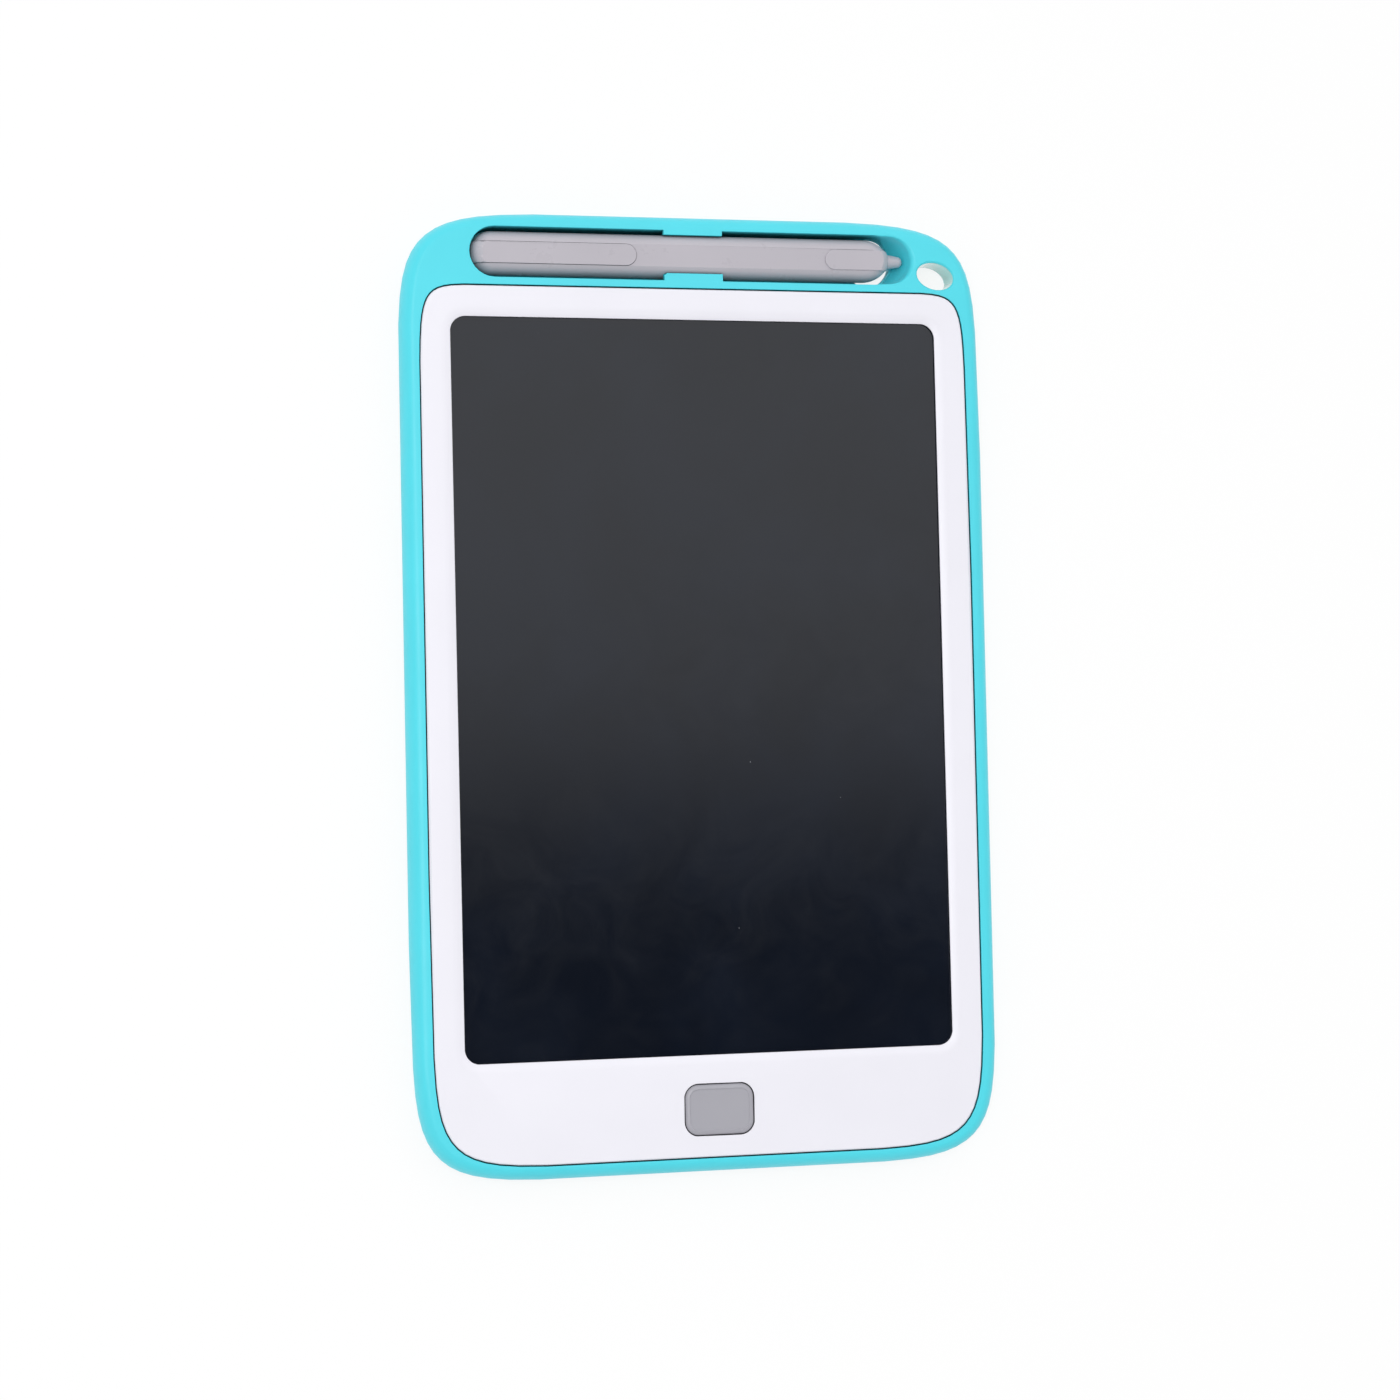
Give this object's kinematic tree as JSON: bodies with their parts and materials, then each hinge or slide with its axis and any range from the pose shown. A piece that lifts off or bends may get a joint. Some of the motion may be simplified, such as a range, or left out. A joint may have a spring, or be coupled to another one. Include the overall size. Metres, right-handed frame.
{
  "type": "lcd writing tablet",
  "caption": "Slim pressure-sensitive writing tablet with a bezel around a dark screen, an erase button, a pen channel with a stylus along the top and a lanyard hole.",
  "frame": {"origin": "middle of the flat back face, which lies on the surface, under the centre of the outline", "axes": "+Z out of the screen, +Y towards the pen channel at the top edge, +X to the right seen from the front"},
  "size_m": [0.1454, 0.2312, 0.0114],
  "materials": {
    "teal_plastic": "fine satin texture",
    "white_plastic": "satin",
    "grey_plastic": "satin",
    "pen_plastic": "satin with a soft sheen",
    "screen_film": "semi-gloss film",
    "black_sheet": "matt",
    "circuit_board": "solder mask",
    "black_component": "moulded",
    "wound_copper": "wound wire",
    "tail_film": "flexible film",
    "steel": "plated"
  },
  "bodies": {
    "case": {"case_front": "teal_plastic", "case_back": "teal_plastic", "pen_snap_lip_upper": "teal_plastic", "pen_snap_lip_lower": "teal_plastic", "bezel": "white_plastic", "lcd_panel": "screen_film", "backing_sheet": "black_sheet", "support_plate": "black_sheet", "display_tail": "tail_film", "controller_board": "circuit_board", "driver_chip": "black_component", "boost_coil": "wound_copper", "erase_switch_body": "black_component", "lock_switch_body": "black_component", "coin_cell": "steel", "cell_contact_positive": "steel", "cell_contact_negative": "steel", "case_screw_1": "steel", "case_screw_2": "steel", "case_screw_3": "steel", "case_screw_4": "steel", "case_screw_5": "steel", "case_screw_6": "steel"},
    "button": {"erase_button": "grey_plastic", "erase_switch_plunger": "white_plastic"},
    "lock": {"lock_slider": "white_plastic", "lock_switch_lever": "white_plastic"},
    "door": {"battery_door": "teal_plastic", "battery_door_screw": "steel"},
    "stylus": {"stylus_barrel": "pen_plastic", "stylus_clip": "pen_plastic", "stylus_nib": "pen_plastic"}
  },
  "joints": [
    {"name": "erase_press", "type": "slide", "parent": "case", "child": "button", "axis": [0, 0, -1], "range_m": [0, 0.0006], "stiffness_N_per_m": 2000},
    {"name": "lock_slide", "type": "slide", "parent": "case", "child": "lock", "axis": [1, 0, 0], "range_m": [0, 0.0025]},
    {"name": "battery_door_swing", "type": "hinge", "parent": "case", "child": "door", "pos_m": [0.038, -0.0817, 0.0002], "axis": [1, 0, 0], "range_deg": [0, 70]},
    {"name": "stylus_lift", "type": "slide", "parent": "case", "child": "stylus", "axis": [0, 0, 1], "range_m": [0, 0.03], "deforming": ["pen_snap_lip_upper", "pen_snap_lip_lower"]}
  ]
}
